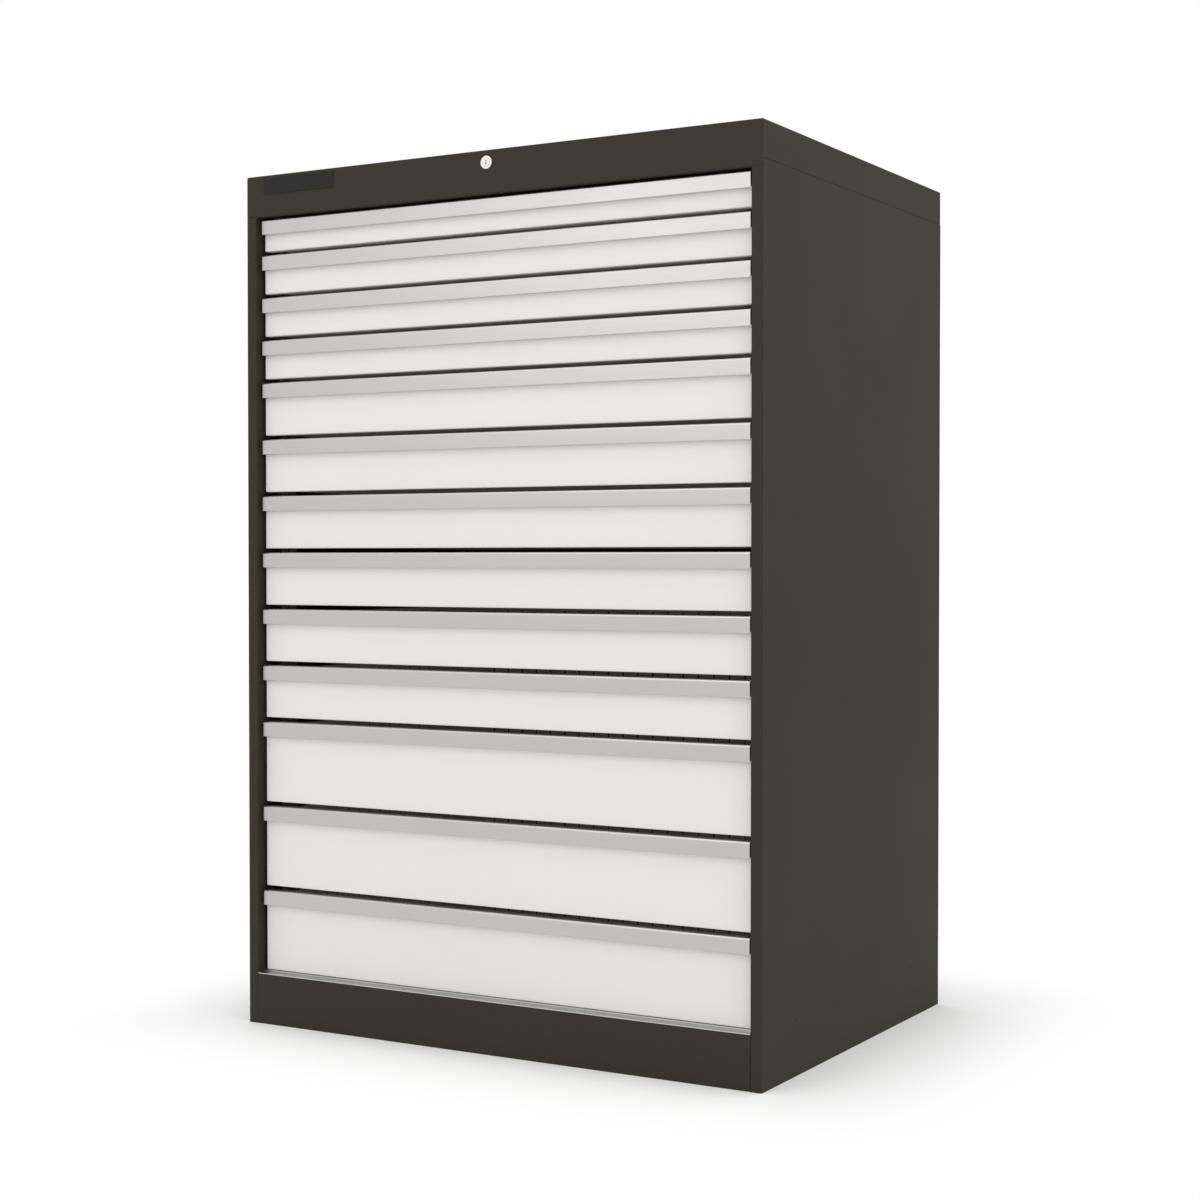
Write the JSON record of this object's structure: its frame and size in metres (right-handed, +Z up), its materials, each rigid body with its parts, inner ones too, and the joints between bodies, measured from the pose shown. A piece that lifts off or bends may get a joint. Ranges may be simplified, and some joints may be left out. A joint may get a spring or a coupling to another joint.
{
  "type": "drawer cabinet",
  "caption": "Free-standing steel drawer cabinet with full-width drawers of graduated height on telescopic roller slides, full-width aluminium handles and a central lock.",
  "frame": {"origin": "on the floor, under the middle of the cabinet", "axes": "+X to the right seen from the front, +Y to the back, +Z up; the drawers open towards -Y"},
  "size_m": [1.012, 0.7576, 1.5],
  "materials": {
    "shell_paint": "satin powder coat, fine texture",
    "drawer_paint": "satin powder coat",
    "handle_aluminium": "satin anodised",
    "zinc_steel": "bright zinc plate",
    "bearing_steel": "ground steel",
    "lock_metal": "satin nickel plate",
    "black_plate": "smooth black",
    "black_rubber": "matt"
  },
  "bodies": {
    "housing": {"left_side_panel": "shell_paint", "right_side_panel": "shell_paint", "back_panel": "shell_paint", "top_cap": "shell_paint", "header_channel": "shell_paint", "plinth_front": "shell_paint", "base_frame": "shell_paint", "base_pan": "zinc_steel", "uprights": "zinc_steel", "cabinet_rails": "zinc_steel", "cabinet_rollers": "bearing_steel", "rear_buffers": "black_rubber", "side_rivets": "shell_paint", "panel_screws": "zinc_steel", "lock_housing": "lock_metal", "lock_guides": "zinc_steel", "badge_plate": "black_plate"},
    "drawer_01": {"drawer_01": "drawer_paint", "handle_01": "handle_aluminium"},
    "slides_01": {"slides_01": "zinc_steel"},
    "drawer_02": {"drawer_02": "drawer_paint", "handle_02": "handle_aluminium"},
    "slides_02": {"slides_02": "zinc_steel"},
    "drawer_03": {"drawer_03": "drawer_paint", "handle_03": "handle_aluminium"},
    "slides_03": {"slides_03": "zinc_steel"},
    "drawer_04": {"drawer_04": "drawer_paint", "handle_04": "handle_aluminium"},
    "slides_04": {"slides_04": "zinc_steel"},
    "drawer_05": {"drawer_05": "drawer_paint", "handle_05": "handle_aluminium"},
    "slides_05": {"slides_05": "zinc_steel"},
    "drawer_06": {"drawer_06": "drawer_paint", "handle_06": "handle_aluminium"},
    "slides_06": {"slides_06": "zinc_steel"},
    "drawer_07": {"drawer_07": "drawer_paint", "handle_07": "handle_aluminium"},
    "slides_07": {"slides_07": "zinc_steel"},
    "drawer_08": {"drawer_08": "drawer_paint", "handle_08": "handle_aluminium"},
    "slides_08": {"slides_08": "zinc_steel"},
    "drawer_09": {"drawer_09": "drawer_paint", "handle_09": "handle_aluminium"},
    "slides_09": {"slides_09": "zinc_steel"},
    "drawer_10": {"drawer_10": "drawer_paint", "handle_10": "handle_aluminium"},
    "slides_10": {"slides_10": "zinc_steel"},
    "drawer_11": {"drawer_11": "drawer_paint", "handle_11": "handle_aluminium"},
    "slides_11": {"slides_11": "zinc_steel"},
    "drawer_12": {"drawer_12": "drawer_paint", "handle_12": "handle_aluminium"},
    "slides_12": {"slides_12": "zinc_steel"},
    "drawer_13": {"drawer_13": "drawer_paint", "handle_13": "handle_aluminium"},
    "slides_13": {"slides_13": "zinc_steel"},
    "lock_core": {"lock_barrel": "lock_metal", "lock_cam": "zinc_steel"},
    "lock_link": {"lock_link": "zinc_steel"},
    "lock_bar": {"lock_bar": "zinc_steel"}
  },
  "joints": [
    {"name": "drawer_01_slide", "type": "slide", "parent": "housing", "child": "drawer_01", "axis": [0, -1, 0], "range_m": [0, 0.636]},
    {"name": "slides_01_slide", "type": "slide", "parent": "housing", "child": "slides_01", "axis": [0, -1, 0], "range_m": [0, 0.318]},
    {"name": "drawer_02_slide", "type": "slide", "parent": "housing", "child": "drawer_02", "axis": [0, -1, 0], "range_m": [0, 0.636]},
    {"name": "slides_02_slide", "type": "slide", "parent": "housing", "child": "slides_02", "axis": [0, -1, 0], "range_m": [0, 0.318]},
    {"name": "drawer_03_slide", "type": "slide", "parent": "housing", "child": "drawer_03", "axis": [0, -1, 0], "range_m": [0, 0.636]},
    {"name": "slides_03_slide", "type": "slide", "parent": "housing", "child": "slides_03", "axis": [0, -1, 0], "range_m": [0, 0.318]},
    {"name": "drawer_04_slide", "type": "slide", "parent": "housing", "child": "drawer_04", "axis": [0, -1, 0], "range_m": [0, 0.636]},
    {"name": "slides_04_slide", "type": "slide", "parent": "housing", "child": "slides_04", "axis": [0, -1, 0], "range_m": [0, 0.318]},
    {"name": "drawer_05_slide", "type": "slide", "parent": "housing", "child": "drawer_05", "axis": [0, -1, 0], "range_m": [0, 0.636]},
    {"name": "slides_05_slide", "type": "slide", "parent": "housing", "child": "slides_05", "axis": [0, -1, 0], "range_m": [0, 0.318]},
    {"name": "drawer_06_slide", "type": "slide", "parent": "housing", "child": "drawer_06", "axis": [0, -1, 0], "range_m": [0, 0.636]},
    {"name": "slides_06_slide", "type": "slide", "parent": "housing", "child": "slides_06", "axis": [0, -1, 0], "range_m": [0, 0.318]},
    {"name": "drawer_07_slide", "type": "slide", "parent": "housing", "child": "drawer_07", "axis": [0, -1, 0], "range_m": [0, 0.636]},
    {"name": "slides_07_slide", "type": "slide", "parent": "housing", "child": "slides_07", "axis": [0, -1, 0], "range_m": [0, 0.318]},
    {"name": "drawer_08_slide", "type": "slide", "parent": "housing", "child": "drawer_08", "axis": [0, -1, 0], "range_m": [0, 0.636]},
    {"name": "slides_08_slide", "type": "slide", "parent": "housing", "child": "slides_08", "axis": [0, -1, 0], "range_m": [0, 0.318]},
    {"name": "drawer_09_slide", "type": "slide", "parent": "housing", "child": "drawer_09", "axis": [0, -1, 0], "range_m": [0, 0.636]},
    {"name": "slides_09_slide", "type": "slide", "parent": "housing", "child": "slides_09", "axis": [0, -1, 0], "range_m": [0, 0.318]},
    {"name": "drawer_10_slide", "type": "slide", "parent": "housing", "child": "drawer_10", "axis": [0, -1, 0], "range_m": [0, 0.636]},
    {"name": "slides_10_slide", "type": "slide", "parent": "housing", "child": "slides_10", "axis": [0, -1, 0], "range_m": [0, 0.318]},
    {"name": "drawer_11_slide", "type": "slide", "parent": "housing", "child": "drawer_11", "axis": [0, -1, 0], "range_m": [0, 0.636]},
    {"name": "slides_11_slide", "type": "slide", "parent": "housing", "child": "slides_11", "axis": [0, -1, 0], "range_m": [0, 0.318]},
    {"name": "drawer_12_slide", "type": "slide", "parent": "housing", "child": "drawer_12", "axis": [0, -1, 0], "range_m": [0, 0.636]},
    {"name": "slides_12_slide", "type": "slide", "parent": "housing", "child": "slides_12", "axis": [0, -1, 0], "range_m": [0, 0.318]},
    {"name": "drawer_13_slide", "type": "slide", "parent": "housing", "child": "drawer_13", "axis": [0, -1, 0], "range_m": [0, 0.636]},
    {"name": "slides_13_slide", "type": "slide", "parent": "housing", "child": "slides_13", "axis": [0, -1, 0], "range_m": [0, 0.318]},
    {"name": "lock_turn", "type": "hinge", "parent": "housing", "child": "lock_core", "pos_m": [0, -0.3775, 1.4795], "axis": [0, -1, 0], "range_deg": [0, 90]},
    {"name": "lock_link_slide", "type": "slide", "parent": "housing", "child": "lock_link", "axis": [1, 0, 0], "range_m": [0, 0.01698]},
    {"name": "lock_bar_slide", "type": "slide", "parent": "housing", "child": "lock_bar", "axis": [0, 0, 1], "range_m": [0, 0.008]}
  ],
  "couplings": [
    {"joint": "slides_01_slide", "follows": "drawer_01_slide", "ratio": 0.5},
    {"joint": "slides_02_slide", "follows": "drawer_02_slide", "ratio": 0.5},
    {"joint": "slides_03_slide", "follows": "drawer_03_slide", "ratio": 0.5},
    {"joint": "slides_04_slide", "follows": "drawer_04_slide", "ratio": 0.5},
    {"joint": "slides_05_slide", "follows": "drawer_05_slide", "ratio": 0.5},
    {"joint": "slides_06_slide", "follows": "drawer_06_slide", "ratio": 0.5},
    {"joint": "slides_07_slide", "follows": "drawer_07_slide", "ratio": 0.5},
    {"joint": "slides_08_slide", "follows": "drawer_08_slide", "ratio": 0.5},
    {"joint": "slides_09_slide", "follows": "drawer_09_slide", "ratio": 0.5},
    {"joint": "slides_10_slide", "follows": "drawer_10_slide", "ratio": 0.5},
    {"joint": "slides_11_slide", "follows": "drawer_11_slide", "ratio": 0.5},
    {"joint": "slides_12_slide", "follows": "drawer_12_slide", "ratio": 0.5},
    {"joint": "slides_13_slide", "follows": "drawer_13_slide", "ratio": 0.5},
    {"joint": "lock_turn", "follows": "lock_bar_slide", "rad_per_m": 196.3},
    {"joint": "lock_link_slide", "follows": "lock_bar_slide", "ratio": 2.1212}
  ]
}
